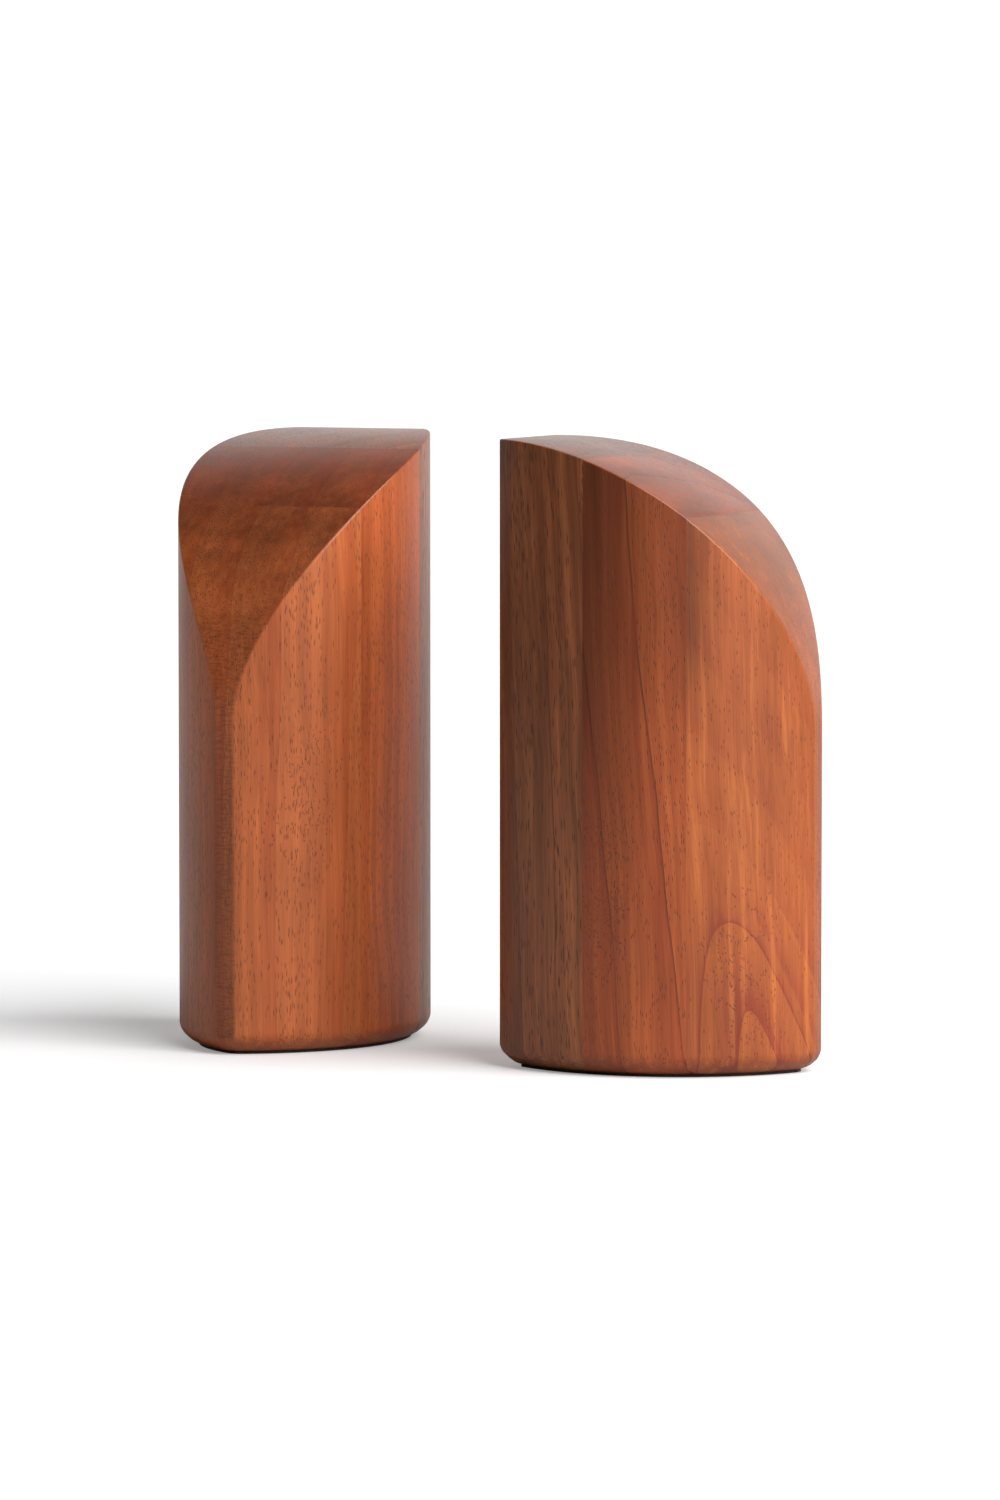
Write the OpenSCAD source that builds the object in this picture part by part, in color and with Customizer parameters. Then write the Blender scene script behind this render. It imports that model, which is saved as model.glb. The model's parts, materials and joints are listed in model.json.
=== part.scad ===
// Pair of solid-wood book ends.
// Each one is a leaf-shaped block glued up from three upright boards. Its flat back, the book
// face, stands against the books. Its sides bulge and close to a narrow flat at the nose, and
// its top sweeps down to the nose in a quarter oval. Steel bars in the middle board weigh it
// down, and a screwed steel plate under a thin felt pad closes their bores.
//
// One book end is modelled with the middle of its book face's lower edge at [0, 0, 0], its nose
// towards +X and its sides towards -Y and +Y. Both are then turned and set down around the
// origin, which is the middle of the pair's outline on the shelf.

/* [Block] */
// Height of each book end, from the shelf to its top edge
height = 190; // [150:1:240]
// Depth from the flat book face to the nose
depth = 94.5; // [76:0.5:120]
// Width of the flat book face
book_face_width = 44; // [36:0.5:56]
// Width where the sides bulge most
max_width = 73; // [60:0.5:90]
// Distance of the widest place from the book face
widest_at = 40.5; // [32:0.5:50]
// Width of the narrow flat down the nose
nose_width = 6; // [3:0.5:9]
// Height of the sweep, from the top edge down to the upright part of the nose
sweep_height = 87.5; // [70:0.5:110]
// Angle above level at which the sweep's upper arc passes into its lower arc
sweep_join_angle = 57; // [40:1:65]
// How far the bevel around the foot cuts in
foot_bevel_width = 4.5; // [1:0.5:6]
// How far the bevel around the foot reaches up
foot_bevel_height = 4; // [1:0.5:6]

/* [Boards] */
// Thickness of the rear board, whose back is the book face
rear_board_thickness = 32.5; // [26:0.5:39]
// Thickness of the middle board, which holds the ballast bars
middle_board_thickness = 31.5; // [26:0.5:38]

/* [Ballast bars] */
// Diameter of each of the two steel bars
bar_diameter = 22; // [14:0.5:24]
// Length of each bar
bar_length = 100; // [50:1:120]
// Wood left between a bar and the side of the block
bar_wall = 6; // [4:0.5:8]
// Gap all round a bar in its bore, filled with glue
bar_clearance = 0.25; // [0.1:0.05:0.5]
// Space left above a bar at the blind end of its bore
bar_end_gap = 2; // [0.5:0.5:5]

/* [Base plate] */
// Wood left around the plate's recess, measured in from the sides
plate_rim = 12; // [10:0.5:14]
// Thickness of the steel plate
plate_thickness = 3; // [2:0.5:4]
// Gap around the plate in its recess
plate_clearance = 0.3; // [0.1:0.05:0.5]

/* [Plate screws] */
// Core diameter of each countersunk wood screw
screw_diameter = 3; // [2:0.25:4]
// Diameter of its flat head
screw_head_diameter = 6.5; // [5:0.25:8]
// Length of the screw, head included
screw_length = 22; // [14:1:30]
// Length of its pointed end
screw_point = 4; // [2:0.5:6]
// Distance of the two rear screws from the plate's edges
rear_screw_edge = 8; // [6:0.5:9]
// Distance of the front screw from the plate's tip
front_screw_edge = 12; // [9:0.5:14]
// Gap around a screw's core in the plate, above the head's seat
screw_clearance = 0.2; // [0.1:0.05:0.4]
// How much smaller its pilot hole in the wood is than its core
pilot_bite = 0.1; // [0.05:0.05:0.3]

/* [Base pad] */
// Bare wood left between the foot bevel and the pad
pad_rim = 1.5; // [0.5:0.5:4]
// Thickness of the felt pad that the book end stands on
pad_thickness = 0.8; // [0.5:0.1:2]

/* [Placement] */
// Turn of the left book end's nose from straight ahead towards -X, in degrees
left_turn = 25.7; // [0:0.1:60]
// Turn of the right book end's nose from straight ahead towards +X, in degrees
right_turn = 67.7; // [30:0.1:90]
// Place of the right book face along X, counted from the left book face
right_face_x = 51.5; // [50:0.5:120]
// Place of the right book face along Y, counted from the left book face
right_face_y = -94.5; // [-140:0.5:-90]

/* [Hidden] */

// Segments of the large arcs and of small round pieces
arc_steps = 240;
bore_steps = 64;
// Overshoot of a cutting solid past the face that it cuts
over = 1;

// Each side is two arcs that meet at the widest place, where both run straight along X. An arc
// falls from half the greatest width to half an end's width over its run.
function arc_radius(run, fall) = (run * run + fall * fall) / (2 * fall);
half_width = max_width / 2;
rear_radius = arc_radius(widest_at, (max_width - book_face_width) / 2);
front_radius = arc_radius(depth - widest_at, (max_width - nose_width) / 2);

// Half the width of the block at a distance x from the book face, taken in by an inset all round
function side_radius(x) = x < widest_at ? rear_radius : front_radius;
function half_width_at(x, inset = 0) =
    sqrt(pow(side_radius(x) - inset, 2) - pow(x - widest_at, 2)) - side_radius(x) + half_width;

// The sweep is a quarter oval of two arcs. The upper one starts level at the book face and the
// lower one ends upright at the nose, and they share their direction where they meet.
sweep_z = height - sweep_height;
sweep_share = cos(sweep_join_angle) + sin(sweep_join_angle) - 1;
upper_sweep_radius =
    (depth * sin(sweep_join_angle) - sweep_height * (1 - cos(sweep_join_angle))) / sweep_share;
lower_sweep_radius =
    (sweep_height * cos(sweep_join_angle) - depth * (1 - sin(sweep_join_angle))) / sweep_share;
sweep_join_x = upper_sweep_radius * cos(sweep_join_angle);

// The wood stands on the pad
wood_bottom = pad_thickness;

// Board limits, from the book face forwards
rear_glue_line = rear_board_thickness;
front_glue_line = rear_board_thickness + middle_board_thickness;

// Plate, bars and screws
plate_top = wood_bottom + plate_thickness;
bar_x = rear_glue_line + middle_board_thickness / 2;
bar_y = half_width_at(bar_x) - bar_wall - bar_diameter / 2;
rear_screw_x = plate_rim + rear_screw_edge;
rear_screw_y = half_width_at(rear_screw_x, plate_rim) - rear_screw_edge;
plate_tip = min(
    depth - plate_rim,
    widest_at + sqrt(pow(front_radius - plate_rim, 2) - pow(front_radius - half_width, 2))
);
screw_places = [
    [rear_screw_x, -rear_screw_y],
    [rear_screw_x, rear_screw_y],
    [plate_tip - front_screw_edge, 0]
];
screw_head_height = (screw_head_diameter - screw_diameter) / 2;
drive_slot_width = 1;
drive_slot_depth = screw_head_height / 2;

pad_inset = foot_bevel_width + pad_rim;

// Outline of one book end seen from above, as points close together, to find the pair's middle
outline_step = depth / 400;
outline = [
    for (side = [-1, 1], x = [0:outline_step:depth]) [x, side * half_width_at(x)]
];
left_heading = -90 - left_turn;
right_heading = -90 + right_turn;
right_face = [right_face_x, right_face_y];

// A point of the plan turned around the middle of the book face
function turned(p, angle) =
    [p[0] * cos(angle) - p[1] * sin(angle), p[0] * sin(angle) + p[1] * cos(angle)];
pair_outline = concat(
    [for (p = outline) turned(p, left_heading)],
    [for (p = outline) turned(p, right_heading) + right_face]
);
pair_x = [for (p = pair_outline) p[0]];
pair_y = [for (p = pair_outline) p[1]];
pair_middle = [(min(pair_x) + max(pair_x)) / 2, (min(pair_y) + max(pair_y)) / 2];

// ---- Shapes that the pieces share, in one book end's own frame ----

// What is common to a shape moved towards -Y and towards +Y of the widest place
module common_to_both_sides(offset_y) {
    intersection() {
        translate([widest_at, -offset_y, 0]) children();
        translate([widest_at, offset_y, 0]) children();
    }
}

// Part of a plan between the two arcs of one radius, taken in by an inset
module lens(radius, inset, from_x, to_x) {
    intersection() {
        common_to_both_sides(radius - half_width)
            circle(r = radius - inset, $fn = arc_steps);
        translate([from_x, -half_width]) square([to_x - from_x, max_width]);
    }
}

// Plan of the block, taken in by an inset all round
module plan(inset) {
    lens(rear_radius, inset, inset, widest_at);
    lens(front_radius, inset, widest_at, depth - inset);
}

// Upright drum whose wall is one arc of a side, with the foot bevel on its lower edge
module drum(radius) {
    rotate_extrude($fn = arc_steps)
        polygon([
            [0, wood_bottom],
            [radius - foot_bevel_width, wood_bottom],
            [radius, wood_bottom + foot_bevel_height],
            [radius, height],
            [0, height]
        ]);
}

// Part of the block between the two drums of one radius
module between_drums(radius, from_x, to_x) {
    intersection() {
        common_to_both_sides(radius - half_width) drum(radius);
        translate([from_x, -half_width, 0]) cube([to_x - from_x, max_width, height]);
    }
}

// Part of the side view under one arc of the sweep
module under_arc(centre, radius, from_x, to_x) {
    intersection() {
        translate(centre) circle(r = radius, $fn = arc_steps);
        translate([from_x, sweep_z]) square([to_x - from_x, sweep_height]);
    }
}

// Side view of the block: book face, foot bevels, nose and sweep
module side_view() {
    polygon([
        [foot_bevel_width, wood_bottom],
        [depth - foot_bevel_width, wood_bottom],
        [depth, wood_bottom + foot_bevel_height],
        [depth, sweep_z],
        [0, sweep_z],
        [0, wood_bottom + foot_bevel_height]
    ]);
    under_arc([0, height - upper_sweep_radius], upper_sweep_radius, 0, sweep_join_x);
    under_arc([depth - lower_sweep_radius, sweep_z], lower_sweep_radius, sweep_join_x, depth);
}

// The whole outer shape in wood
module block() {
    intersection() {
        union() {
            between_drums(rear_radius, 0, widest_at);
            between_drums(front_radius, widest_at, depth);
        }
        rotate([90, 0, 0])
            linear_extrude(height = max_width, center = true)
                side_view();
    }
}

// A stretch of the block between two glue lines
module stretch(from_x, to_x) {
    intersection() {
        block();
        translate([from_x, -half_width, 0]) cube([to_x - from_x, max_width, height]);
    }
}

// A round bar or bore for the ballast, at both of its places
module bars(diameter, top) {
    for (side = [-1, 1])
        translate([bar_x, side * bar_y, plate_top])
            cylinder(d = diameter, h = top - plate_top, $fn = bore_steps);
}

// A screw's outline turned around its axis, head down: the head runs into a core of its own radius
module turned_screw(core_radius) {
    head_radius = screw_head_diameter / 2;
    rotate_extrude($fn = bore_steps)
        polygon([
            [0, 0],
            [head_radius, 0],
            [core_radius, head_radius - core_radius],
            [core_radius, screw_length - screw_point],
            [0, screw_length]
        ]);
}

// A screw or its hole at each of the plate's screw places
module at_screws() {
    for (place = screw_places)
        translate([place[0], place[1], wood_bottom]) children();
}

// Everything that is cut out of the wood from below
module cuts_from_below() {
    translate([0, 0, wood_bottom - over])
        linear_extrude(height = plate_thickness + over)
            plan(plate_rim);
    bars(bar_diameter + 2 * bar_clearance, plate_top + bar_length + bar_end_gap);
    at_screws() turned_screw((screw_diameter - pilot_bite) / 2);
}

// ---- The pieces of one book end ----

module rear_board() {
    color("#8c4c2e")
        difference() {
            stretch(0, rear_glue_line);
            cuts_from_below();
        }
}

module middle_board() {
    color("#a3502c")
        difference() {
            stretch(rear_glue_line, front_glue_line);
            cuts_from_below();
        }
}

module nose_board() {
    color("#b95d30")
        difference() {
            stretch(front_glue_line, depth);
            cuts_from_below();
        }
}

module ballast_bars() {
    color("#8e9296")
        bars(bar_diameter, plate_top + bar_length);
}

module base_plate() {
    color("#a7abae")
        difference() {
            translate([0, 0, wood_bottom])
                linear_extrude(height = plate_thickness)
                    plan(plate_rim + plate_clearance);
            at_screws() turned_screw(screw_diameter / 2 + screw_clearance);
        }
}

module plate_screws() {
    color("#c2b280")
        at_screws()
            difference() {
                turned_screw(screw_diameter / 2);
                for (turn = [0, 90])
                    rotate([0, 0, turn])
                        translate([-screw_diameter / 2, -drive_slot_width / 2, -over])
                            cube([screw_diameter, drive_slot_width, drive_slot_depth + over]);
            }
}

module base_pad() {
    color("#3a2a22")
        linear_extrude(height = pad_thickness)
            plan(pad_inset);
}

// ---- Where the two book ends stand ----

module at_left() {
    translate([-pair_middle[0], -pair_middle[1], 0])
        rotate([0, 0, left_heading])
            children();
}

module at_right() {
    translate([right_face[0] - pair_middle[0], right_face[1] - pair_middle[1], 0])
        rotate([0, 0, right_heading])
            children();
}

module left_rear_board() { at_left() rear_board(); }
module left_middle_board() { at_left() middle_board(); }
module left_nose_board() { at_left() nose_board(); }
module left_ballast_bars() { at_left() ballast_bars(); }
module left_base_plate() { at_left() base_plate(); }
module left_plate_screws() { at_left() plate_screws(); }
module left_base_pad() { at_left() base_pad(); }
module right_rear_board() { at_right() rear_board(); }
module right_middle_board() { at_right() middle_board(); }
module right_nose_board() { at_right() nose_board(); }
module right_ballast_bars() { at_right() ballast_bars(); }
module right_base_plate() { at_right() base_plate(); }
module right_plate_screws() { at_right() plate_screws(); }
module right_base_pad() { at_right() base_pad(); }

left_rear_board();
left_middle_board();
left_nose_board();
left_ballast_bars();
left_base_plate();
left_plate_screws();
left_base_pad();
right_rear_board();
right_middle_board();
right_nose_board();
right_ballast_bars();
right_base_plate();
right_plate_screws();
right_base_pad();
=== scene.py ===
# %% [markdown]
# # A pair of weighted wooden book ends
# Each book end is a leaf-shaped block glued up from three upright boards of reddish hardwood,
# sanded and finished with a satin lacquer. Steel bars inside and a thin felt pad below give it
# weight and a quiet foot. This notebook loads the finished shapes, softens their arrises as
# sandpaper does, and then spends most of its cells on the wood, because the wood is what
# one sees.

# %% Load the frame
import json
import math

import bmesh
import bpy
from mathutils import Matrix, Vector


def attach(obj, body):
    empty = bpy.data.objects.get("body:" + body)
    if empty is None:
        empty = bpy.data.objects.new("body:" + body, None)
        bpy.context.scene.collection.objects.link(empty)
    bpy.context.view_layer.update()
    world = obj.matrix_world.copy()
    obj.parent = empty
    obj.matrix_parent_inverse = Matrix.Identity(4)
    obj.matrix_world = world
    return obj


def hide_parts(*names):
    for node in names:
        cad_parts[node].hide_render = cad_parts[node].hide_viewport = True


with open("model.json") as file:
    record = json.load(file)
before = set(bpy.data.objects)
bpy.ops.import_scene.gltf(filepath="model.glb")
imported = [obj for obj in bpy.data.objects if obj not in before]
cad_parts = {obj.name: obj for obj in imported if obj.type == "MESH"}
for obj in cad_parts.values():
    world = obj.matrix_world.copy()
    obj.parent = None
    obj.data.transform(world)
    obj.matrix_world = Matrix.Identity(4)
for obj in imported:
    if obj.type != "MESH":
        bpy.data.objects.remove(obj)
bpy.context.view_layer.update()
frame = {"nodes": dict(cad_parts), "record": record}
nodes = frame["nodes"]
scene = bpy.context.scene

# %% [markdown]
# ## Where each book end stands
# Both book ends have the same shape and are only set down and turned differently. The record
# states the middle of each flat book face and the way it looks, so the stand of each block is
# read from there. The nose points the other way from the book face.

# %% Read the two stands from the mounts
SIDES = ("left", "right")
BOARDS = ("rear_board", "middle_board", "nose_board")
mounts = {mount["name"]: mount for mount in frame["record"]["mounts"]}


def stand_of(side):
    face = mounts[side + "_book_face"]
    nose = -Vector(face["axis"])
    place = Vector((face["pos_m"][0], face["pos_m"][1], 0.0))
    return {"place": place, "nose": nose, "heading": math.atan2(nose.y, nose.x)}


stands = {side: stand_of(side) for side in SIDES}
for side in SIDES:
    print(side, "nose heading", round(math.degrees(stands[side]["heading"]), 1), "degrees")

# %% [markdown]
# ## Boards with softened arrises
# A CAD node is a shell of loose, perfectly sharp triangles. Real lacquered wood never has a
# sharp corner: the maker breaks every arris with sandpaper, and the thin line of light on it
# is what tells the eye that this is wood. Each board is copied, merged and bevelled along its
# outer arrises. The glued faces meet flat and the underside is out of sight, so their edges
# stay as they are. The bevel also marks its own points, and the finish reads that mark. Last,
# the points, edges and faces are numbered by their place, because a bevel doesn't always
# number them in the same way.

# %% Choose the arrises that sandpaper reaches
SANDED_RADIUS = 0.0006
FOOT_RADIUS = 0.0022
FOOT_ZONE = 0.006
CREASE_ANGLE = math.radians(24)
FLAT_ANGLE = math.radians(0.3)
MERGE_DISTANCE = 0.000001
GLUE_LINE_TOLERANCE = 0.0001


def depth_from_book_face(point, stand):
    return (point - stand["place"]).dot(stand["nose"])


def is_glued(face, stand, glue_lines):
    if abs(face.normal.dot(stand["nose"])) < 0.999:
        return False
    depth = depth_from_book_face(face.calc_center_median(), stand)
    return any(abs(depth - glue_line) < GLUE_LINE_TOLERANCE for glue_line in glue_lines)


def is_foot_arris(edge):
    return max(vert.co.z for vert in edge.verts) < FOOT_ZONE


def is_outer_arris(edge, stand, glue_lines):
    if not edge.is_manifold or not edge.is_convex:
        return False
    if edge.calc_face_angle() < CREASE_ANGLE:
        return False
    if any(is_glued(face, stand, glue_lines) for face in edge.link_faces):
        return False
    faces_down = any(face.normal.z < -0.99 for face in edge.link_faces)
    upright = any(abs(face.normal.z) < 0.01 for face in edge.link_faces)
    return not (faces_down and upright)


# %% Copy, merge and sand one board
PLACE_DIGITS = 7


def number_by_place(items, place_of):
    places = {item: [round(value, PLACE_DIGITS) for value in place_of(item)] for item in items}
    ranks = {item: rank for rank, item in enumerate(sorted(items, key=places.get))}
    items.sort(key=lambda item: ranks[item])


def sanded_board(node_name, stand, glue_lines):
    work = bmesh.new()
    work.from_mesh(nodes[node_name].data)
    mark = work.verts.layers.float.new("arris")
    bmesh.ops.remove_doubles(work, verts=work.verts, dist=MERGE_DISTANCE)
    bmesh.ops.dissolve_limit(
        work, angle_limit=FLAT_ANGLE, verts=work.verts, edges=work.edges, delimit=set()
    )
    arrises = [edge for edge in work.edges if is_outer_arris(edge, stand, glue_lines)]
    foot = [edge for edge in arrises if is_foot_arris(edge)]
    bmesh.ops.bevel(
        work, geom=foot, offset=FOOT_RADIUS, offset_type="OFFSET", affect="EDGES",
        segments=5, profile=0.5, material=-1, clamp_overlap=False,
    )
    crisp = [edge for edge in work.edges if is_outer_arris(edge, stand, glue_lines)]
    rounded = bmesh.ops.bevel(
        work, geom=crisp, offset=SANDED_RADIUS, offset_type="OFFSET", affect="EDGES",
        segments=3, profile=0.5, material=-1, clamp_overlap=False,
    )
    new_faces = set(rounded["faces"])
    for vert in rounded["verts"]:
        if all(face in new_faces for face in vert.link_faces):
            vert[mark] = 1.0
    for face in work.faces:
        face.smooth = True
    for edge in work.edges:
        edge.smooth = not (edge.is_manifold and edge.calc_face_angle() > CREASE_ANGLE)
    number_by_place(work.verts, lambda vert: vert.co)
    number_by_place(work.edges, lambda edge: edge.verts[0].co + edge.verts[1].co)
    number_by_place(work.faces, lambda face: face.calc_center_median())
    mesh = bpy.data.meshes.new(node_name)
    work.to_mesh(mesh)
    work.free()
    return mesh


# %% Sand the six boards
boards = {}
for side in SIDES:
    stand = stands[side]
    depths = [
        depth_from_book_face(vert.co, stand)
        for vert in nodes[side + "_middle_board"].data.vertices
    ]
    glue_lines = (min(depths), max(depths))
    for board in BOARDS:
        name = side + "_" + board
        piece = bpy.data.objects.new(name + "_sanded", sanded_board(name, stand, glue_lines))
        scene.collection.objects.link(piece)
        boards[name] = piece
        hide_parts(name)
        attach(piece, side + "_bookend")
    print(side, "glue lines at", [round(line * 1000, 1) for line in glue_lines], "mm")

# %% [markdown]
# ## Small helpers for node work
# A finish is a tree of nodes. A few short helpers keep its cells readable: they add a node with
# its settings, feed a socket from either a value or another node, do sums on numbers and on
# vectors, ramp a value softly, look up noise, and blend colours. Distances inside the wood
# groups are in millimetres, measured from the foot of the book face: x runs to the nose, y
# across the block and z up along the grain.

# %% Add nodes, feed sockets, do sums
def add_node(tree, kind, **settings):
    node = tree.nodes.new(kind)
    for setting, value in settings.items():
        setattr(node, setting, value)
    return node


def feed(tree, socket, source):
    if isinstance(source, bpy.types.NodeSocket):
        tree.links.new(source, socket)
    else:
        socket.default_value = source


def sum_of(tree, operation, *sources):
    node = add_node(tree, "ShaderNodeMath", operation=operation)
    for socket, source in zip(node.inputs, sources):
        feed(tree, socket, source)
    return node.outputs[0]


def vector_sum(tree, operation, *sources):
    node = add_node(tree, "ShaderNodeVectorMath", operation=operation)
    for socket, source in zip(node.inputs, sources):
        feed(tree, socket, source)
    return node.outputs["Value" if operation in ("LENGTH", "DOT_PRODUCT") else "Vector"]


def ramp(tree, value, start, end, low=0.0, high=1.0):
    node = add_node(tree, "ShaderNodeMapRange", interpolation_type="SMOOTHSTEP")
    for label, source in (
        ("Value", value), ("From Min", start), ("From Max", end), ("To Min", low), ("To Max", high)
    ):
        feed(tree, node.inputs[label], source)
    return node.outputs[0]


def noise(tree, position, detail=2.0, roughness=0.5, seed=0.0, color=False):
    node = add_node(tree, "ShaderNodeTexNoise", noise_dimensions="4D")
    feed(tree, node.inputs["Vector"], position)
    feed(tree, node.inputs["W"], seed)
    node.inputs["Scale"].default_value = 1.0
    node.inputs["Detail"].default_value = detail
    node.inputs["Roughness"].default_value = roughness
    return node.outputs["Color" if color else "Fac"]


def blend(tree, amount, under, over, blend_type="MIX"):
    node = add_node(tree, "ShaderNodeMix", data_type="RGBA", blend_type=blend_type)
    feed(tree, node.inputs[0], amount)
    feed(tree, node.inputs[6], under)
    feed(tree, node.inputs[7], over)
    return node.outputs[2]


# %% Open a shared group with named inputs and outputs
KINDS = {"value": "NodeSocketFloat", "vector": "NodeSocketVector"}


def new_group(name, inputs, outputs):
    tree = bpy.data.node_groups.new(name, "ShaderNodeTree")
    for label, (kind, default) in inputs.items():
        socket = tree.interface.new_socket(name=label, in_out="INPUT", socket_type=KINDS[kind])
        if default is not None:
            socket.default_value = default
    for label in outputs:
        tree.interface.new_socket(name=label, in_out="OUTPUT", socket_type=KINDS["value"])
    enter = tree.nodes.new("NodeGroupInput")
    leave = tree.nodes.new("NodeGroupOutput")
    return tree, enter.outputs, leave.inputs


def use_group(tree, group, **sources):
    node = add_node(tree, "ShaderNodeGroup", node_tree=group)
    for label, source in sources.items():
        feed(tree, node.inputs[label.replace("_", " ")], source)
    return node.outputs


# %% [markdown]
# ## Growth layers
# A tree adds one layer of wood a year round its pith, so a board shows slices of long nested
# cones. Where the pith runs almost parallel to the board the slices are straight lines, and
# where it leans through the face they close into arches, the cathedral figure. The group
# measures the distance from a leaning pith, bends it with slow noise, and gives three things:
# how far across its layer a point lies, an uneven tone from layer to layer, and the thin dark
# line where each layer begins.

# %% Build the growth layer group
growth_layers, given, result = new_group(
    "growth_layers",
    {
        "Position": ("vector", None),
        "Pith": ("vector", (0.0, 0.0, 0.0)),
        "Lean": ("vector", (0.0, 0.0, 0.0)),
        "Wander": ("value", 3.0),
        "Layer Width": ("value", 12.0),
        "Offset": ("value", 0.0),
        "Taper": ("value", 0.0),
        "Line Width": ("value", 0.03),
        "Seed": ("value", 0.0),
    },
    ("Phase", "Tone", "Dark Line"),
)
height = add_node(growth_layers, "ShaderNodeSeparateXYZ")
feed(growth_layers, height.inputs[0], given["Position"])
pith_shift = add_node(growth_layers, "ShaderNodeVectorMath", operation="SCALE")
feed(growth_layers, pith_shift.inputs[0], given["Lean"])
feed(growth_layers, pith_shift.inputs["Scale"], height.outputs["Z"])
from_pith = vector_sum(growth_layers, "SUBTRACT", given["Position"], given["Pith"])
from_pith = vector_sum(growth_layers, "SUBTRACT", from_pith, pith_shift.outputs["Vector"])
slow = vector_sum(growth_layers, "MULTIPLY", given["Position"], (0.035, 0.035, 0.011))
drift = noise(growth_layers, slow, detail=2.0, seed=given["Seed"], color=True)
drift = vector_sum(growth_layers, "SUBTRACT", drift, (0.5, 0.5, 0.5))
reach = add_node(growth_layers, "ShaderNodeVectorMath", operation="SCALE")
feed(growth_layers, reach.inputs[0], drift)
feed(growth_layers, reach.inputs["Scale"], given["Wander"])
from_pith = vector_sum(growth_layers, "ADD", from_pith, reach.outputs["Vector"])
from_pith = vector_sum(growth_layers, "MULTIPLY", from_pith, (1.0, 1.0, 0.0))
distance = vector_sum(growth_layers, "LENGTH", from_pith)
cone = sum_of(growth_layers, "MULTIPLY", height.outputs["Z"], given["Taper"])
distance = sum_of(growth_layers, "ADD", distance, cone)
layers = sum_of(growth_layers, "DIVIDE", distance, given["Layer Width"])
layers = sum_of(growth_layers, "ADD", layers, given["Offset"])
phase = sum_of(growth_layers, "FRACT", layers)
uneven = add_node(growth_layers, "ShaderNodeTexNoise", noise_dimensions="1D")
feed(growth_layers, uneven.inputs["W"], sum_of(growth_layers, "ADD", layers, given["Seed"]))
uneven.inputs["Scale"].default_value = 2.2
uneven.inputs["Detail"].default_value = 3.0
feed(growth_layers, result["Phase"], phase)
feed(growth_layers, result["Tone"], uneven.outputs["Fac"])
line = ramp(growth_layers, phase, 0.0, given["Line Width"], 1.0, 0.0)
feed(growth_layers, result["Dark Line"], line)
print("growth_layers:", len(growth_layers.nodes), "nodes")

# %% [markdown]
# ## Fibres, clouds and ripple
# Between the layers run the fibres: long threads, less than half a millimetre thick, that give
# the surface its brushed look along the grain. Clouds are the broad light and dark patches
# that make one part of a board warmer than the next. The fibres of this wood also weave from
# side to side, which light turns into soft bands across the grain, and where the rays of the
# wood come to the surface they leave a fine comb of short cross marks.

# %% Build the fibre and figure group
wood_fibres, given, result = new_group(
    "wood_fibres",
    {"Position": ("vector", None), "Seed": ("value", 0.0)},
    ("Thread", "Streak", "Cloud", "Ripple", "Comb"),
)
FIBRE_SCALES = {
    "Thread": ((2.6, 2.6, 0.045), 2.0),
    "Streak": ((0.42, 0.42, 0.008), 3.0),
    "Cloud": ((0.045, 0.045, 0.016), 2.0),
    "Ripple": ((0.035, 0.05, 0.12), 3.0),
    "Comb": ((0.35, 0.42, 2.1), 1.0),
}
for label, (scale, detail) in FIBRE_SCALES.items():
    stretched = vector_sum(wood_fibres, "MULTIPLY", given["Position"], scale)
    feed(wood_fibres, result[label], noise(wood_fibres, stretched, detail, seed=given["Seed"]))
print("wood_fibres:", len(wood_fibres.nodes), "nodes")

# %% [markdown]
# ## Open pores
# The vessels that carried the sap are thin tubes along the grain. On a long face the plane
# cuts them into short dark dashes, and on the sloping top it cuts them into dots. The same
# solid pattern gives both: cells that are narrow across the grain and long along it, each
# holding one thread. Where the grain weaves, the dashes lie at odd angles like fish scales,
# so the group bends its own space before it looks up the cells.

# %% Build the pore group
open_pores, given, result = new_group(
    "open_pores",
    {
        "Position": ("vector", None),
        "Across": ("value", 0.9),
        "Along": ("value", 5.0),
        "Amount": ("value", 0.5),
        "Weave": ("value", 0.6),
        "Seed": ("value", 0.0),
    },
    ("Pore",),
)
bend = vector_sum(open_pores, "MULTIPLY", given["Position"], (0.12, 0.12, 0.17))
bend = noise(open_pores, bend, detail=1.0, seed=given["Seed"], color=True)
bend = vector_sum(open_pores, "SUBTRACT", bend, (0.5, 0.5, 0.5))
weave = add_node(open_pores, "ShaderNodeVectorMath", operation="SCALE")
feed(open_pores, weave.inputs[0], bend)
feed(open_pores, weave.inputs["Scale"], given["Weave"])
woven = vector_sum(open_pores, "ADD", given["Position"], weave.outputs["Vector"])
cell = add_node(open_pores, "ShaderNodeCombineXYZ")
feed(open_pores, cell.inputs["X"], given["Across"])
feed(open_pores, cell.inputs["Y"], given["Across"])
feed(open_pores, cell.inputs["Z"], given["Along"])
woven = vector_sum(open_pores, "DIVIDE", woven, cell.outputs["Vector"])
vessels = add_node(open_pores, "ShaderNodeTexVoronoi", voronoi_dimensions="3D", feature="F1")
feed(open_pores, vessels.inputs["Vector"], woven)
vessels.inputs["Scale"].default_value = 1.0
chance = add_node(open_pores, "ShaderNodeSeparateColor")
feed(open_pores, chance.inputs[0], vessels.outputs["Color"])
present = sum_of(open_pores, "LESS_THAN", chance.outputs[0], given["Amount"])
thread = ramp(open_pores, vessels.outputs["Distance"], 0.18, 0.42, 1.0, 0.0)
feed(open_pores, result["Pore"], sum_of(open_pores, "MULTIPLY", thread, present))
print("open_pores:", len(open_pores.nodes), "nodes")

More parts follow.
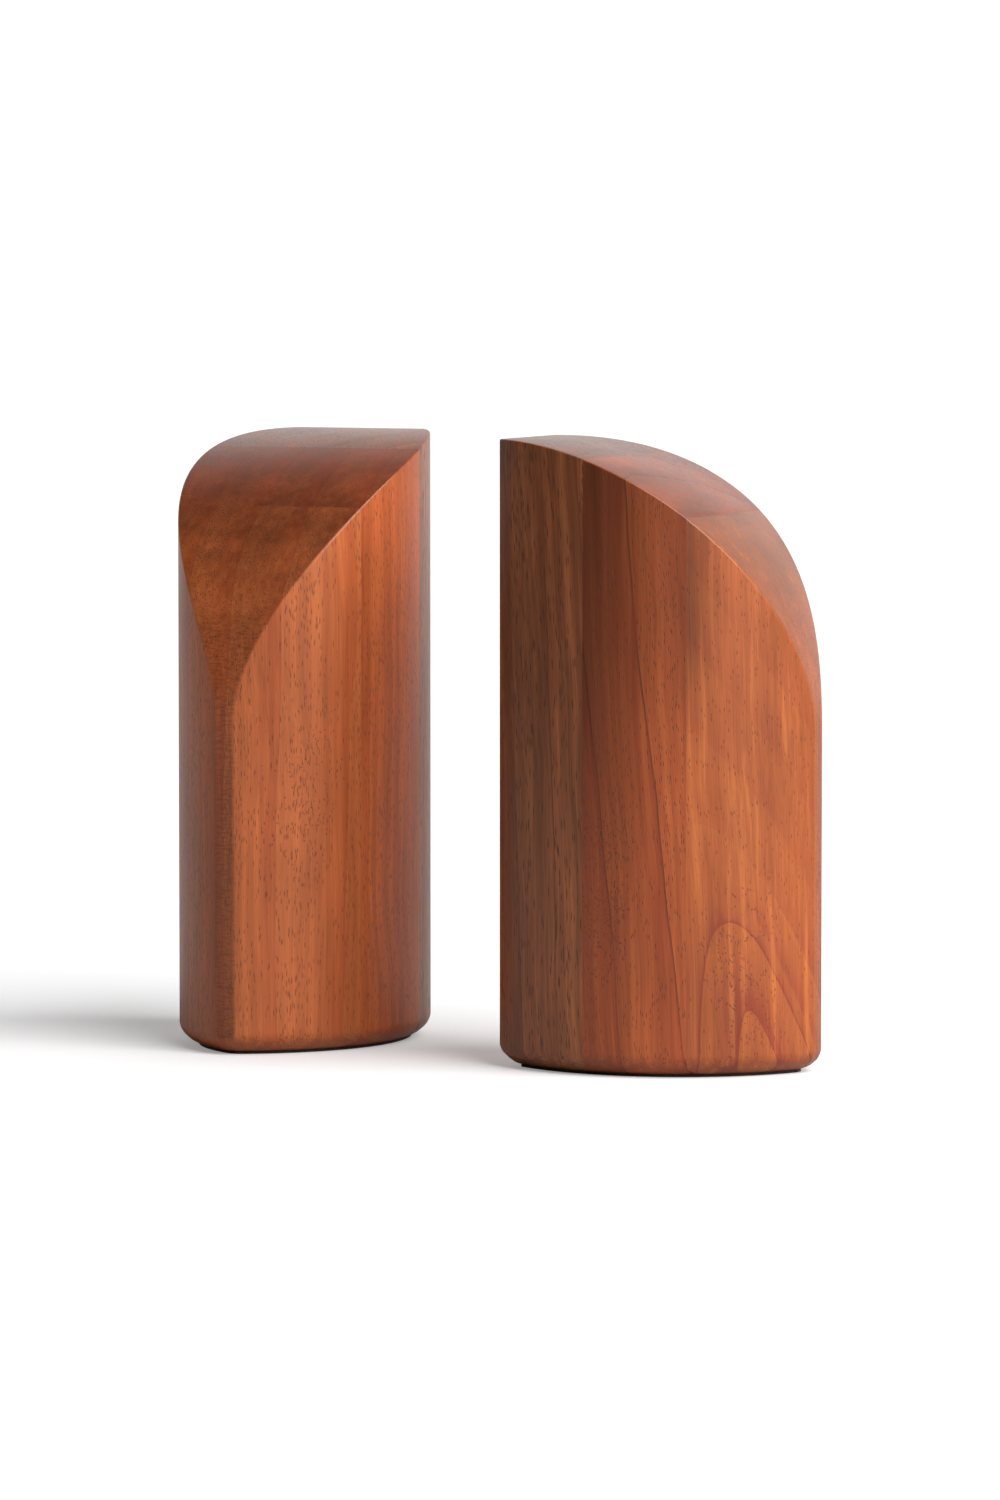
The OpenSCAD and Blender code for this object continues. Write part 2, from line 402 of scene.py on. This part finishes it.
# %% [markdown]
# ## A lacquered board
# The colour is laid down in the order in which the wood shows it: the layer colours, then
# clouds and streaks, the hard dark lines, the pores, and last the end grain, which drinks
# finish and goes darker wherever the surface cuts across the fibres. The sanded arris is a
# little paler, because sanding wears through the stain. Over it lies a satin coat. The pores
# and the fibres also press faintly through the lacquer, which the bump follows.

# %% Set the lacquer and the ruler of a board
COAT_WEIGHT = 0.5
COAT_ROUGHNESS = 0.27
WOOD_SPECULAR = 0.3
PORE_DEPTH = 0.00012
PORE_STRENGTH = 0.6
MILLIMETRE = 0.001
SWAY_SCALE = (0.03, 0.03, 0.014)


def rgb(red, green, blue):
    return (red, green, blue, 1.0)


def shade_factor(tree, value, depth):
    return ramp(tree, value, 0.3, 0.7, 1.0 - depth, 1.0 + depth)


def board_ruler(tree, place, stand):
    ruler = add_node(tree, "ShaderNodeMapping", vector_type="TEXTURE")
    ruler.inputs["Location"].default_value = stand["place"]
    ruler.inputs["Rotation"].default_value = (0.0, 0.0, stand["heading"])
    ruler.inputs["Scale"].default_value = (MILLIMETRE, MILLIMETRE, MILLIMETRE)
    feed(tree, ruler.inputs["Vector"], place.outputs["Object"])
    return ruler.outputs["Vector"]


def swayed_grain(tree, here, height, wood):
    slant = add_node(tree, "ShaderNodeVectorMath", operation="SCALE")
    slant.inputs[0].default_value = (wood["slant"], 0.0, 0.0)
    feed(tree, slant.inputs["Scale"], height)
    grain = vector_sum(tree, "ADD", here, slant.outputs["Vector"])
    slow = vector_sum(tree, "MULTIPLY", here, SWAY_SCALE)
    sway = noise(tree, slow, 1.0, seed=wood["seed"])
    sideways = add_node(tree, "ShaderNodeCombineXYZ")
    feed(tree, sideways.inputs["X"], sum_of(tree, "MULTIPLY", sway, wood["sway"]))
    return vector_sum(tree, "ADD", grain, sideways.outputs["Vector"])


# %% [markdown]
# The layers are plain to see inside a swirl and fade to a calm board round it. `late` says how
# porous the wood is at a point, and the pores use it too, because they crowd in the porous part
# of a layer.

# %% Color the layers
def swirl_contrast(tree, front, wood):
    swirl = vector_sum(tree, "SUBTRACT", front, wood["swirl"])
    swirl = vector_sum(tree, "DIVIDE", swirl, wood["swirl_size"])
    swirl = vector_sum(tree, "LENGTH", swirl)
    return ramp(tree, swirl, 1.05, 1.45, 1.0, wood["calm"])


def porous_part(tree, layer, contrast, wood):
    late = ramp(tree, layer["Phase"], wood["late"][0], wood["late"][1])
    early = sum_of(tree, "SUBTRACT", 1.0, late)
    early = sum_of(tree, "MULTIPLY", contrast, early)
    return sum_of(tree, "SUBTRACT", 1.0, early)


def layer_color(tree, layer, fibre, contrast, late, wood):
    color = blend(tree, late, wood["dense_color"], wood["porous_color"])
    bright = sum_of(tree, "ADD", layer["Tone"], fibre["Streak"])
    bright = ramp(tree, bright, 0.98, 1.3)
    bright = sum_of(tree, "MULTIPLY", bright, contrast)
    bright = sum_of(tree, "MULTIPLY", bright, wood["bright"])
    color = blend(tree, bright, color, wood["bright_color"])
    pale = ramp(tree, fibre["Streak"], 0.56, 0.68)
    pale = sum_of(tree, "MULTIPLY", pale, wood["pale_streak"])
    color = blend(tree, pale, color, wood["bright_color"])
    dark = ramp(tree, fibre["Streak"], 0.35, 0.6)
    dark = sum_of(tree, "MULTIPLY", layer["Dark Line"], dark)
    dark = sum_of(tree, "MULTIPLY", dark, ramp(tree, contrast, 0.3, 1.0))
    dark = sum_of(tree, "MULTIPLY", dark, wood["line"])
    return blend(tree, dark, color, wood["line_color"])


# %% [markdown]
# The shade is one factor. Clouds, streaks and threads vary it. A painted shade darkens the sides of a
# board towards its top, and a set band of some boards is darker. The woven fibres add a painted sheen in
# soft bands on end grain only, and a painted shade darkens only the narrow front that faces the way of
# the nose.

# %% Shade a board
def darker_zones(tree, spot, end_grain, wood):
    # painted shade: the long-grain sides of a board darken towards its top, where less light bounces up
    # from the floor
    rising = ramp(tree, spot.outputs["Z"], 20.0, 165.0, 0.0, wood["painted_top_shade"])
    # a set band of the board is darker: the darkening fades out along the way to the nose and starts
    # above a given height
    near, far = wood["dark_band"]
    dark_band = ramp(tree, spot.outputs["X"], near, far, wood["dark_band_depth"], 0.0)
    above = ramp(tree, spot.outputs["Z"], wood["dark_band_foot"], wood["dark_band_foot"] + 50.0)
    dark_band = sum_of(tree, "MULTIPLY", dark_band, above)
    darker = sum_of(tree, "ADD", rising, dark_band)
    long_grain = sum_of(tree, "SUBTRACT", 1.0, end_grain)
    darker = sum_of(tree, "MULTIPLY", darker, long_grain)
    return sum_of(tree, "SUBTRACT", 1.0, darker)


def end_grain_sheen(tree, fibre, end_grain, wood):
    # painted sheen: the end grain's woven fibres are real, and the soft light and dark bands that light
    # draws across them are painted into the colour
    woven = shade_factor(tree, fibre["Ripple"], wood["ripple_sheen"])
    woven = sum_of(tree, "SUBTRACT", woven, 1.0)
    woven = sum_of(tree, "MULTIPLY", woven, end_grain)
    return sum_of(tree, "ADD", 1.0, woven)


def board_shade(tree, spot, fibre, end_grain, comb_and_nose_shade_face, wood):
    # painted shade: the narrow front that faces the way of the nose is darkened, as it turns away from
    # the key light
    ray_comb_and_nose_shade = sum_of(tree, "MULTIPLY", comb_and_nose_shade_face, wood["painted_nose_shade"])
    factors = (
        shade_factor(tree, fibre["Streak"], wood["streak"]),
        shade_factor(tree, fibre["Thread"], wood["thread"]),
        darker_zones(tree, spot, end_grain, wood),
        end_grain_sheen(tree, fibre, end_grain, wood),
        sum_of(tree, "SUBTRACT", 1.0, ray_comb_and_nose_shade),
    )
    shade = shade_factor(tree, fibre["Cloud"], wood["cloud"])
    for factor in factors:
        shade = sum_of(tree, "MULTIPLY", shade, factor)
    return shade


# %% [markdown]
# Two kinds of pore lie over each other: straight dashes all over the board, and in one patch
# of it shorter ones that weave like fish scales.

# %% Scatter the pores
PATCH_SCALE = (0.12, 0.034, 0.0)


def pore_pattern(tree, grain, front, fibre, late, wood):
    porous = ramp(tree, fibre["Cloud"], 0.35, 0.6, 0.45, 1.0)
    porous = sum_of(tree, "MULTIPLY", porous, late)
    amount = ramp(tree, porous, 0.0, 1.0, 0.25, 1.0)
    dashes = use_group(
        tree, open_pores, Position=grain, Across=wood["pore_across"], Along=wood["pore_along"],
        Amount=sum_of(tree, "MULTIPLY", amount, wood["pores"]), Weave=0.8, Seed=wood["seed"],
    )
    patch = vector_sum(tree, "SUBTRACT", front, wood["patch"])
    patch = vector_sum(tree, "MULTIPLY", patch, PATCH_SCALE)
    patch = vector_sum(tree, "LENGTH", patch)
    ragged = ramp(tree, fibre["Ripple"], 0.3, 0.7, 0.5, -0.5)
    patch = sum_of(tree, "ADD", patch, ragged)
    scales = use_group(
        tree, open_pores, Position=grain, Across=0.85, Along=1.5,
        Amount=ramp(tree, patch, 0.6, 1.2, wood["scales"], 0.0), Weave=7.0,
        Seed=wood["seed"] + 5.0,
    )
    return sum_of(tree, "MAXIMUM", dashes["Pore"], scales["Pore"])


# %% Mix one board's finish
def board_finish(name, stand, wood):
    material = bpy.data.materials.new(name)
    material.use_nodes = True
    tree = material.node_tree
    surface = tree.nodes["Principled BSDF"]
    place = add_node(tree, "ShaderNodeTexCoord")
    here = board_ruler(tree, place, stand)
    spot = add_node(tree, "ShaderNodeSeparateXYZ")
    feed(tree, spot.inputs[0], here)
    front = add_node(tree, "ShaderNodeCombineXYZ")
    feed(tree, front.inputs["X"], spot.outputs["X"])
    feed(tree, front.inputs["Y"], spot.outputs["Z"])
    front = front.outputs["Vector"]

    layer = use_group(
        tree, growth_layers, Position=here, Pith=wood["pith"], Lean=wood["lean"],
        Wander=wood["wander"], Layer_Width=wood["layer_width"], Offset=wood["offset"],
        Taper=wood["taper"], Line_Width=wood["line_width"], Seed=wood["seed"],
    )
    grain = swayed_grain(tree, here, spot.outputs["Z"], wood)
    fibre = use_group(tree, wood_fibres, Position=grain, Seed=wood["seed"])
    contrast = swirl_contrast(tree, front, wood)
    late = porous_part(tree, layer, contrast, wood)
    color = layer_color(tree, layer, fibre, contrast, late, wood)

    facing = add_node(tree, "ShaderNodeSeparateXYZ")
    feed(tree, facing.inputs[0], place.outputs["Normal"])
    end_grain = ramp(tree, facing.outputs["Z"], 0.12, 0.75)
    to_nose = vector_sum(tree, "DOT_PRODUCT", place.outputs["Normal"], stand["nose"])
    # faces that look the way of the nose: this mask carries the real comb of the rays and a painted shade
    comb_and_nose_shade_face = ramp(tree, to_nose, 0.88, 0.97)
    toned = add_node(tree, "ShaderNodeVectorMath", operation="SCALE")
    feed(tree, toned.inputs[0], color)
    feed(tree, toned.inputs["Scale"], board_shade(tree, spot, fibre, end_grain, comb_and_nose_shade_face, wood))

    pore = pore_pattern(tree, grain, front, fibre, late, wood)
    stain = sum_of(tree, "MULTIPLY", pore, wood["pore_depth"])
    color = blend(tree, stain, toned.outputs["Vector"], wood["pore_color"])
    ray_comb_and_nose_shade = sum_of(tree, "MULTIPLY", comb_and_nose_shade_face, wood["comb"])
    ray_comb_and_nose_shade = sum_of(tree, "MULTIPLY", ray_comb_and_nose_shade, ramp(tree, fibre["Comb"], 0.42, 0.68))
    color = blend(tree, ray_comb_and_nose_shade, color, wood["pore_color"])
    color = blend(tree, end_grain, color, wood["end_grain"], blend_type="MULTIPLY")

    arris = add_node(tree, "ShaderNodeAttribute", attribute_name="arris")
    worn = ramp(tree, fibre["Cloud"], 0.3, 0.6, 0.05, 0.25)
    worn = sum_of(tree, "MULTIPLY", arris.outputs["Fac"], worn)
    color = blend(tree, worn, color, wood["bright_color"])
    feed(tree, surface.inputs["Base Color"], color)

    gloss = ramp(tree, fibre["Streak"], 0.3, 0.7, 0.44, 0.56)
    feed(tree, surface.inputs["Roughness"], gloss)
    surface.inputs["Specular IOR Level"].default_value = WOOD_SPECULAR
    surface.inputs["Coat Weight"].default_value = COAT_WEIGHT
    surface.inputs["Coat Roughness"].default_value = COAT_ROUGHNESS
    relief = sum_of(tree, "MULTIPLY", fibre["Thread"], 0.35)
    relief = sum_of(tree, "SUBTRACT", relief, pore)
    ripples = sum_of(tree, "MULTIPLY", fibre["Ripple"], 1.5)
    relief = sum_of(tree, "ADD", relief, ripples)
    bump = add_node(tree, "ShaderNodeBump")
    bump.inputs["Strength"].default_value = PORE_STRENGTH
    bump.inputs["Distance"].default_value = PORE_DEPTH
    feed(tree, bump.inputs["Height"], relief)
    feed(tree, surface.inputs["Normal"], bump.outputs["Normal"])
    return material


# %% [markdown]
# ## Six boards, six cuts
# No two boards come from the same part of a tree. The rear boards are brown and straight, with
# fine dark pore lines. The middle boards are redder, with slanting layers. The nose boards are
# the warm orange ones; the one on the right was cut across a small swirl near its foot, so its
# layers close into an arch. Each board's values say where its pith lay and what its layers
# look like, and anything not said is taken from the plain board.

# %% Describe a plain board
# Two values here paint shade into the colour: one darkens the sides of a board towards its top, one
# darkens its narrow front that faces the way of the nose.
plain_board = {
    "seed": 1.0, "pith": (150.0, 40.0, 0.0), "lean": (0.0, 0.0, 0.0), "wander": 8.0,
    "layer_width": 14.0, "offset": 0.0, "line_width": 0.05, "late": (0.1, 0.7),
    "dense_color": rgb(0.36, 0.068, 0.019), "porous_color": rgb(0.40, 0.090, 0.024),
    "bright_color": rgb(0.56, 0.160, 0.036), "bright": 0.5,
    "line": 0.6, "line_color": rgb(0.14, 0.030, 0.012), "pore_color": rgb(0.085, 0.024, 0.012),
    "cloud": 0.14, "streak": 0.12, "thread": 0.11, "painted_top_shade": 0.0, "ripple_sheen": 0.16,
    "pores": 0.5, "pore_across": 0.55, "pore_along": 2.8, "pore_depth": 0.55,
    "patch": (50.0, 70.0, 0.0), "scales": 0.0, "comb": 0.0, "taper": 0.0,
    "slant": 0.05, "sway": 9.0, "calm": 1.0, "dark_band_depth": 0.0,
    "swirl": (79.0, 0.0, 0.0), "swirl_size": (15.0, 42.0, 1.0),
    "dark_band": (34.0, 58.0), "dark_band_foot": -60.0,
    "pale_streak": 0.0, "painted_nose_shade": 0.0,
    "end_grain": rgb(0.60, 0.56, 0.50),
}

# %% Describe the rear boards
brown_board = plain_board | {
    "pith": (160.0, -10.0, 0.0), "lean": (-0.04, 0.0, 0.0), "wander": 6.0, "layer_width": 13.0,
    "dense_color": rgb(0.29, 0.083, 0.028), "porous_color": rgb(0.35, 0.104, 0.034),
    "bright_color": rgb(0.43, 0.140, 0.045), "line_color": rgb(0.11, 0.030, 0.013),
    "pores": 0.95, "pore_across": 0.7, "pore_along": 6.0, "painted_top_shade": 0.22,
    "streak": 0.20, "thread": 0.22, "pore_depth": 0.85,
}
woods = {
    "right_rear_board": brown_board | {"seed": 2.0, "offset": 0.42},
    "left_rear_board": brown_board | {
        "seed": 7.0, "pith": (120.0, 90.0, 0.0), "painted_top_shade": 0.24,
        "dense_color": rgb(0.32, 0.096, 0.036), "porous_color": rgb(0.37, 0.118, 0.043),
    },
}

# %% Describe the middle boards
red_board = plain_board | {
    "pith": (165.0, -25.0, 0.0), "lean": (-0.10, 0.0, 0.0), "wander": 7.0, "layer_width": 17.0,
    "dense_color": rgb(0.40, 0.076, 0.021), "porous_color": rgb(0.47, 0.100, 0.027),
    "bright_color": rgb(0.56, 0.140, 0.034), "late": (0.0, 0.55), "line": 0.9,
}
woods["right_middle_board"] = red_board | {
    "seed": 3.0, "offset": 0.03, "painted_top_shade": 0.40, "scales": 0.95, "pores": 0.6, "dark_band_depth": 0.30,
    "patch": (39.0, 56.0, 0.0),
}
woods["left_middle_board"] = red_board | {
    "seed": 8.0, "pith": (60.0, 150.0, 0.0), "line": 0.25, "slant": -0.01,
    "dense_color": rgb(0.50, 0.094, 0.024), "porous_color": rgb(0.52, 0.112, 0.029),
    "pores": 0.55, "end_grain": rgb(0.40, 0.38, 0.36),
}

# %% Describe the nose boards
woods["right_nose_board"] = plain_board | {
    "seed": 4.0, "pith": (84.1, -19.5, 0.0), "lean": (-0.30, 0.007, 0.0), "wander": 3.0,
    "layer_width": 12.0, "offset": 0.342, "taper": 0.25, "line": 0.3, "late": (0.05, 0.80),
    "dense_color": rgb(0.330, 0.058, 0.022), "porous_color": rgb(0.450, 0.108, 0.028),
    "bright_color": rgb(0.60, 0.185, 0.040), "bright": 0.3, "calm": 0.2, "dark_band": (64.0, 77.0),
    "dark_band_depth": 0.50, "dark_band_foot": 95.0,
    "pores": 0.22, "pore_along": 2.2, "pore_depth": 0.5, "cloud": 0.12, "comb": 0.2,
    "pale_streak": 0.35, "patch": (79.0, 26.0, 0.0), "scales": 0.45,
    "end_grain": rgb(0.60, 0.62, 0.47),
}
woods["left_nose_board"] = plain_board | {
    "seed": 9.0, "pith": (70.0, 190.0, 0.0), "wander": 9.0, "layer_width": 16.0,
    "dense_color": rgb(0.52, 0.114, 0.031), "porous_color": rgb(0.56, 0.140, 0.038),
    "bright_color": rgb(0.62, 0.175, 0.045), "bright": 0.3, "pores": 0.85, "pore_along": 3.4,
    "patch": (80.0, 76.0, 0.0), "scales": 0.42, "line": 0.2, "comb": 0.4, "painted_nose_shade": 0.3,
    "pore_depth": 0.58, "pore_across": 0.55, "ripple_sheen": 0.26,
    "end_grain": rgb(0.36, 0.33, 0.30), "slant": -0.01,
}

# %% Lacquer the six boards
for name, wood in woods.items():
    side = name.split("_")[0]
    finish = board_finish(name + "_lacquered", stands[side], wood)
    boards[name].data.materials.clear()
    boards[name].data.materials.append(finish)
    print(finish.name, len(finish.node_tree.nodes), "nodes")

# %% [markdown]
# ## Felt and steel
# The pad under each block is dense wool felt, dark and without shine, with fibres lying every
# way. The ballast bars and the base plate are cut from bright-drawn and hot-rolled steel, and
# the screws are plated with yellow zinc. They are out of sight while the book ends stand, but a part is
# only finished when its hidden pieces are too.

# %% Felt for the pads
def plain_ruler(tree, scale):
    place = add_node(tree, "ShaderNodeTexCoord")
    ruler = add_node(tree, "ShaderNodeMapping")
    ruler.inputs["Scale"].default_value = scale
    feed(tree, ruler.inputs["Vector"], place.outputs["Object"])
    return ruler.outputs["Vector"]


felt = bpy.data.materials.new("wool_felt")
felt.use_nodes = True
tree = felt.node_tree
surface = tree.nodes["Principled BSDF"]
hairs = noise(tree, plain_ruler(tree, (2400.0, 2400.0, 2400.0)), detail=5.0, roughness=0.7)
patches = noise(tree, plain_ruler(tree, (120.0, 120.0, 120.0)), detail=3.0)
felt_color = blend(tree, ramp(tree, hairs, 0.35, 0.7), rgb(0.022, 0.015, 0.012), rgb(0.075, 0.055, 0.045))
felt_color = blend(tree, ramp(tree, patches, 0.4, 0.7, 0.0, 0.3), felt_color, rgb(0.09, 0.07, 0.055))
feed(tree, surface.inputs["Base Color"], felt_color)
feed(tree, surface.inputs["Roughness"], ramp(tree, hairs, 0.3, 0.7, 0.85, 1.0))
surface.inputs["Sheen Weight"].default_value = 0.4
surface.inputs["Sheen Roughness"].default_value = 0.5
bump = add_node(tree, "ShaderNodeBump")
bump.inputs["Strength"].default_value = 0.7
bump.inputs["Distance"].default_value = 0.0002
feed(tree, bump.inputs["Height"], hairs)
feed(tree, surface.inputs["Normal"], bump.outputs["Normal"])


# %% Steel for bars, plates and screws
def steel_finish(name, stretch, clean, worn, smooth, rough):
    material = bpy.data.materials.new(name)
    material.use_nodes = True
    tree = material.node_tree
    surface = tree.nodes["Principled BSDF"]
    surface.inputs["Metallic"].default_value = 1.0
    lines = noise(tree, plain_ruler(tree, stretch), detail=4.0)
    stains = noise(tree, plain_ruler(tree, (90.0, 90.0, 90.0)), detail=4.0, roughness=0.6)
    feed(tree, surface.inputs["Base Color"], blend(tree, ramp(tree, stains, 0.45, 0.7), clean, worn))
    feed(tree, surface.inputs["Roughness"], ramp(tree, lines, 0.3, 0.7, smooth, rough))
    relief = add_node(tree, "ShaderNodeBump")
    relief.inputs["Strength"].default_value = 0.4
    relief.inputs["Distance"].default_value = 0.00003
    feed(tree, relief.inputs["Height"], lines)
    feed(tree, surface.inputs["Normal"], relief.outputs["Normal"])
    return material


hidden_finishes = {
    "base_pad": felt,
    "ballast_bars": steel_finish(
        "drawn_steel", (2500.0, 2500.0, 40.0), rgb(0.48, 0.47, 0.45), rgb(0.30, 0.27, 0.24), 0.25, 0.45
    ),
    "base_plate": steel_finish(
        "rolled_steel", (900.0, 60.0, 900.0), rgb(0.16, 0.16, 0.17), rgb(0.25, 0.20, 0.17), 0.40, 0.62
    ),
    "plate_screws": steel_finish(
        "zinc_plate", (600.0, 600.0, 600.0), rgb(0.62, 0.56, 0.40), rgb(0.50, 0.43, 0.28), 0.22, 0.40
    ),
}
for side in SIDES:
    for piece, finish in hidden_finishes.items():
        mesh = nodes[side + "_" + piece].data
        mesh.materials.clear()
        mesh.materials.append(finish)
print("hidden finishes:", [finish.name for finish in hidden_finishes.values()])

# %% [markdown]
# ## Camera
# The pair is seen from a little above table height and far enough away that its upright edges
# stay nearly parallel. The tall frame leaves air round it.

# %% Set up the camera
CAMERA_LENS = 179.6
CAMERA_SHIFT = (0.0034, 0.0187)
CAMERA_PLACE = (0.0, -2.298, 0.259)
CAMERA_DIP = math.radians(4.35)

camera_data = bpy.data.cameras.new("camera")
camera = bpy.data.objects.new("camera", camera_data)
scene.collection.objects.link(camera)
camera_data.sensor_fit = "VERTICAL"
camera_data.sensor_height = 36.0
camera_data.sensor_width = 24.0
camera_data.lens = CAMERA_LENS
camera_data.shift_x = CAMERA_SHIFT[0]
camera_data.shift_y = CAMERA_SHIFT[1]
camera.location = CAMERA_PLACE
camera.rotation_euler = (math.radians(90.0) - CAMERA_DIP, 0.0, 0.0)
scene.camera = camera
print("camera height", camera.location.z, "m")

# %% [markdown]
# ## Pale floor and soft light
# The floor is one white sheet, far larger than the frame. A large soft key stands to the right
# and in front of the pair, so the noses are warm and bright, the book faces fall into shade and
# the shadows run to the left. The room behind is white and the room in front is dim: the white
# side is what the lacquer mirrors at a low angle, and gives the sloping tops their pale sheen.

# %% Lay the floor
FLOOR_TO_EYE = 0.80
FLOOR_TO_ROOM = 0.50
FLOOR_GLOW = 0.27
FLOOR_HALF_WIDTH = 8.0

sheet = bmesh.new()
bmesh.ops.create_grid(sheet, x_segments=1, y_segments=1, size=FLOOR_HALF_WIDTH)
floor_mesh = bpy.data.meshes.new("floor")
sheet.to_mesh(floor_mesh)
sheet.free()
floor = bpy.data.objects.new("floor", floor_mesh)
scene.collection.objects.link(floor)

paper = bpy.data.materials.new("white_paper")
paper.use_nodes = True
tree = paper.node_tree
surface = tree.nodes["Principled BSDF"]
surface.inputs["Roughness"].default_value = 0.9
surface.inputs["Specular IOR Level"].default_value = 0.1
path = add_node(tree, "ShaderNodeLightPath")
room_white = rgb(FLOOR_TO_ROOM, FLOOR_TO_ROOM, FLOOR_TO_ROOM)
eye_white = rgb(FLOOR_TO_EYE, FLOOR_TO_EYE, FLOOR_TO_EYE)
seen = path.outputs["Is Camera Ray"]
feed(tree, surface.inputs["Base Color"], blend(tree, seen, room_white, eye_white))
surface.inputs["Emission Color"].default_value = rgb(1.0, 1.0, 1.0)
feed(tree, surface.inputs["Emission Strength"], sum_of(tree, "MULTIPLY", seen, FLOOR_GLOW))
floor_mesh.materials.append(paper)

# %% Light the room
ROOM_BEHIND = Vector((0.1, 0.98, -0.18)).normalized()
ROOM_DIM = 0.02
ROOM_WHITE = 1.1

room = bpy.data.worlds.new("studio")
scene.world = room
room.use_nodes = True
tree = room.node_tree
backdrop = tree.nodes["Background"]
backdrop.inputs["Color"].default_value = rgb(1.0, 1.0, 1.0)
gaze = add_node(tree, "ShaderNodeTexCoord")
behind = vector_sum(tree, "DOT_PRODUCT", gaze.outputs["Generated"], ROOM_BEHIND)
glow = ramp(tree, behind, 0.2, 0.92, ROOM_DIM, ROOM_WHITE)
path = add_node(tree, "ShaderNodeLightPath")
seen_or_lit = add_node(tree, "ShaderNodeMix")
feed(tree, seen_or_lit.inputs[0], path.outputs["Is Camera Ray"])
feed(tree, seen_or_lit.inputs[2], glow)
seen_or_lit.inputs[3].default_value = ROOM_WHITE
feed(tree, backdrop.inputs["Strength"], seen_or_lit.outputs[0])

# %% Set up the key light
KEY_AZIMUTH = math.radians(-41.0)
KEY_ELEVATION = math.radians(42.0)
KEY_DISTANCE = 2.0
KEY_STRENGTH = 4.2
KEY_WIDTH = math.radians(56.0)

key_data = bpy.data.lights.new("key", "SUN")
key_data.energy = KEY_STRENGTH
key_data.angle = KEY_WIDTH
key = bpy.data.objects.new("key", key_data)
scene.collection.objects.link(key)
key.location = Vector((
    math.cos(KEY_ELEVATION) * math.cos(KEY_AZIMUTH),
    math.cos(KEY_ELEVATION) * math.sin(KEY_AZIMUTH),
    math.sin(KEY_ELEVATION),
)) * KEY_DISTANCE
key.rotation_euler = (-key.location).to_track_quat("-Z", "Y").to_euler()
scene.view_settings.view_transform = "Standard"
print("key light at", [round(v, 2) for v in key.location])
